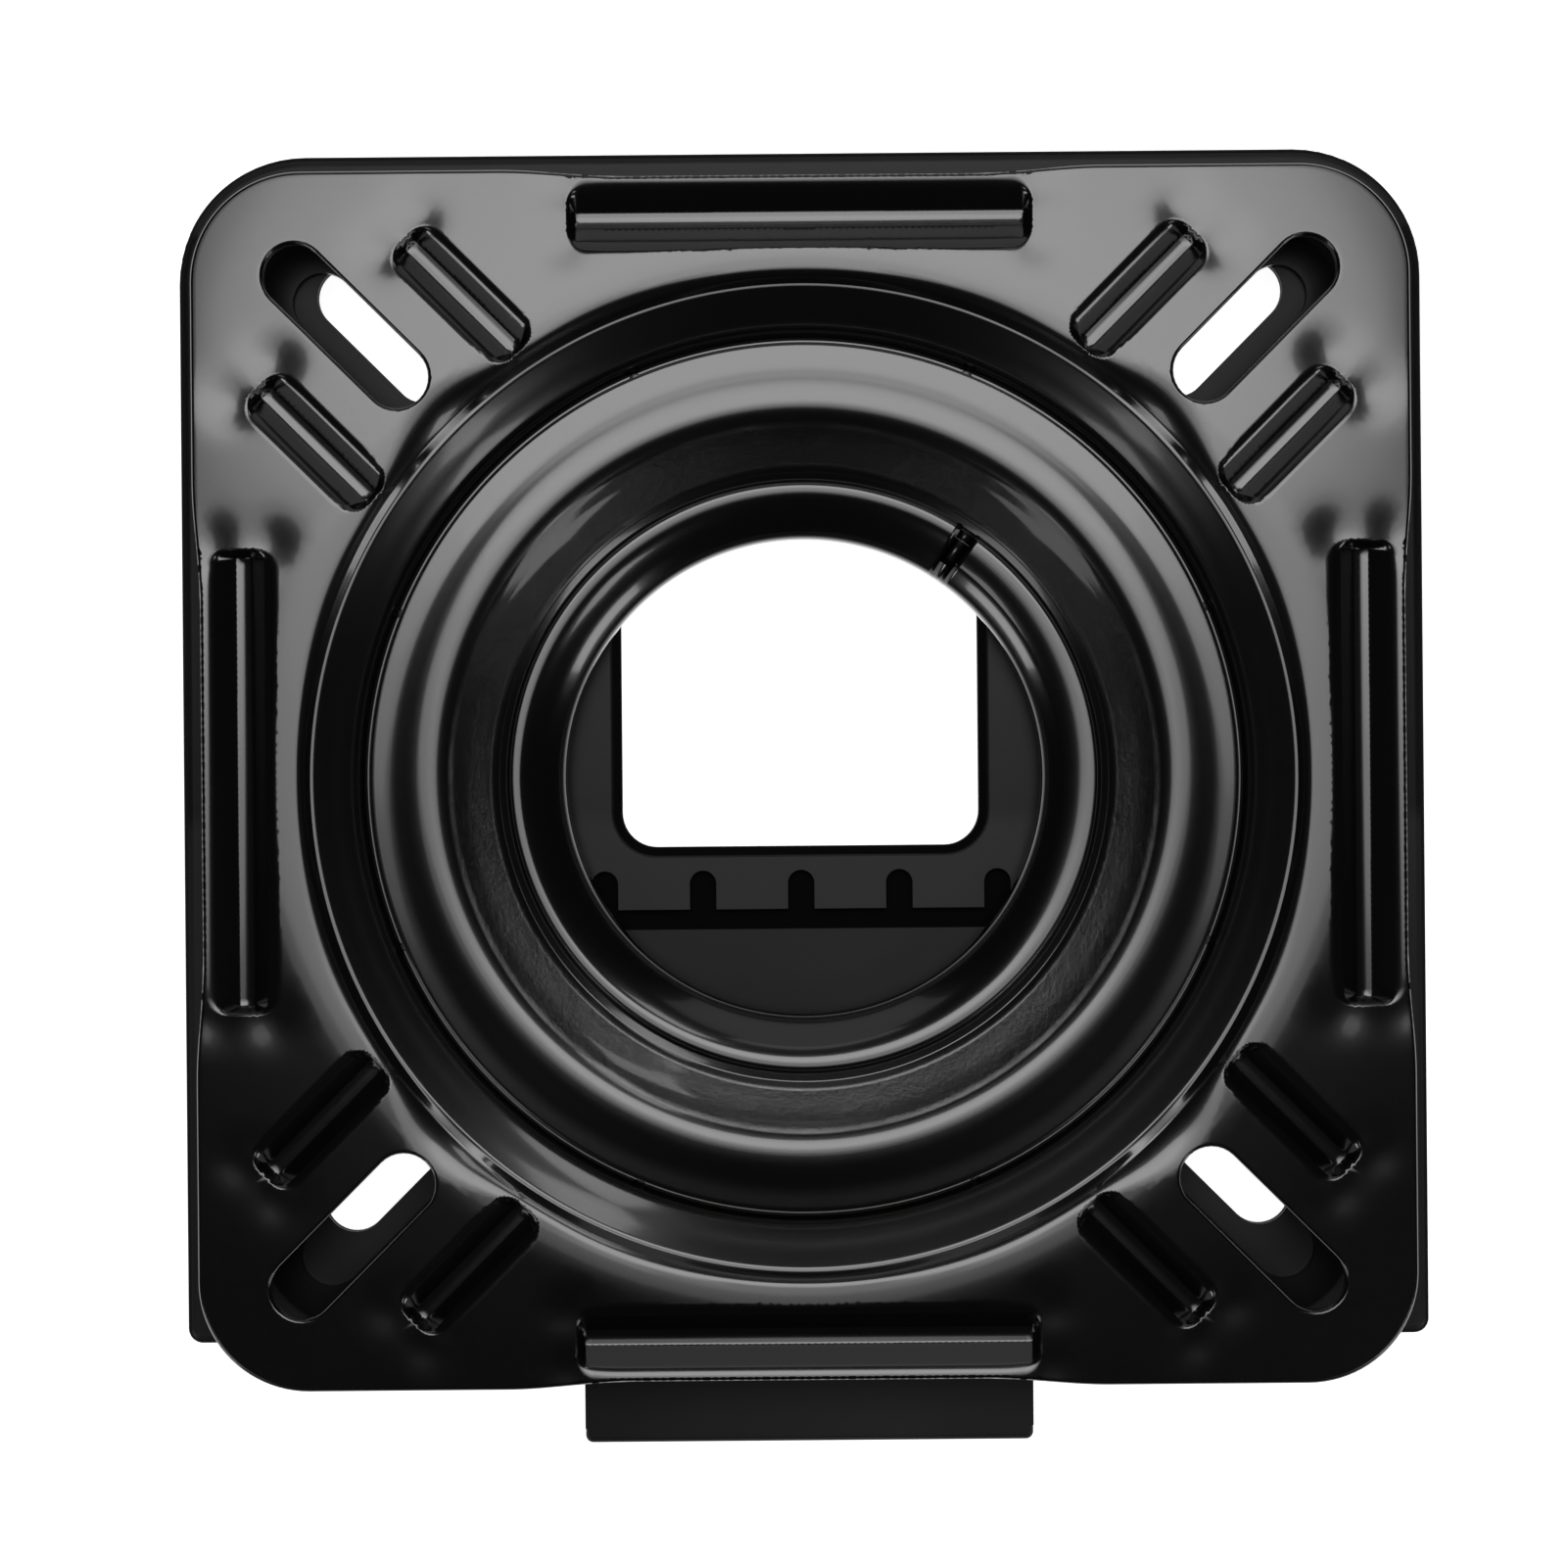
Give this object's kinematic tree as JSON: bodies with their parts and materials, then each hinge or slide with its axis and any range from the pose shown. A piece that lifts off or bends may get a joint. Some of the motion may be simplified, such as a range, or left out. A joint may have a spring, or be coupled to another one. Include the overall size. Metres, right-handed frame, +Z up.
{
  "type": "boat seat swivel",
  "caption": "Low steel turntable for a boat seat: slotted seat plate with pressed grooves on a ball race, clamp ring and flared hub, folded base pan and a pull-out slide that locks rotation.",
  "frame": {"origin": "on the swivel axis, in the plane of the deck under the base pan", "axes": "+Z up along the swivel axis, +Y towards the rear of the base, +X to the right seen from above, with the lock slide's tab at -Y"},
  "size_m": [0.333, 0.3454, 0.052],
  "materials": {
    "gloss_black": "gloss black enamel",
    "satin_black": "semi-gloss black enamel",
    "matte_black": "matte black powder coat",
    "plain_steel": "plain zinc plated steel",
    "spring_steel": "blued spring steel",
    "ball_steel": "polished bearing steel",
    "nylon": "natural nylon"
  },
  "bodies": {
    "base": {"base_pan": "satin_black", "lower_plate": "satin_black", "clamp_ring": "gloss_black", "hub_sleeve": "gloss_black", "hub_spacer": "plain_steel", "centre_bush": "nylon", "glide_ring": "nylon", "slide_guide_left": "nylon", "slide_guide_right": "nylon", "friction_leaf": "spring_steel", "leaf_rivets": "plain_steel", "plate_rivets": "satin_black"},
    "turntable": {"top_plate": "gloss_black", "lock_ring": "plain_steel", "lock_ring_rivets": "plain_steel"},
    "ball_train": {"ball_cage": "nylon", "bearing_balls": "ball_steel"},
    "lock": {"lock_slide": "matte_black", "lock_tooth": "plain_steel", "tooth_rivets": "plain_steel"}
  },
  "joints": [
    {"name": "swivel", "type": "hinge", "parent": "base", "child": "turntable", "pos_m": [0, 0, 0.037], "axis": [0, 0, 1], "continuous": true},
    {"name": "cage_spin", "type": "hinge", "parent": "base", "child": "ball_train", "pos_m": [0, 0, 0.037], "axis": [0, 0, 1], "continuous": true},
    {"name": "lock_push", "type": "slide", "parent": "base", "child": "lock", "axis": [0, 1, 0], "range_m": [0, 0.005]}
  ],
  "couplings": [
    {"joint": "cage_spin", "follows": "swivel", "ratio": 0.5}
  ]
}
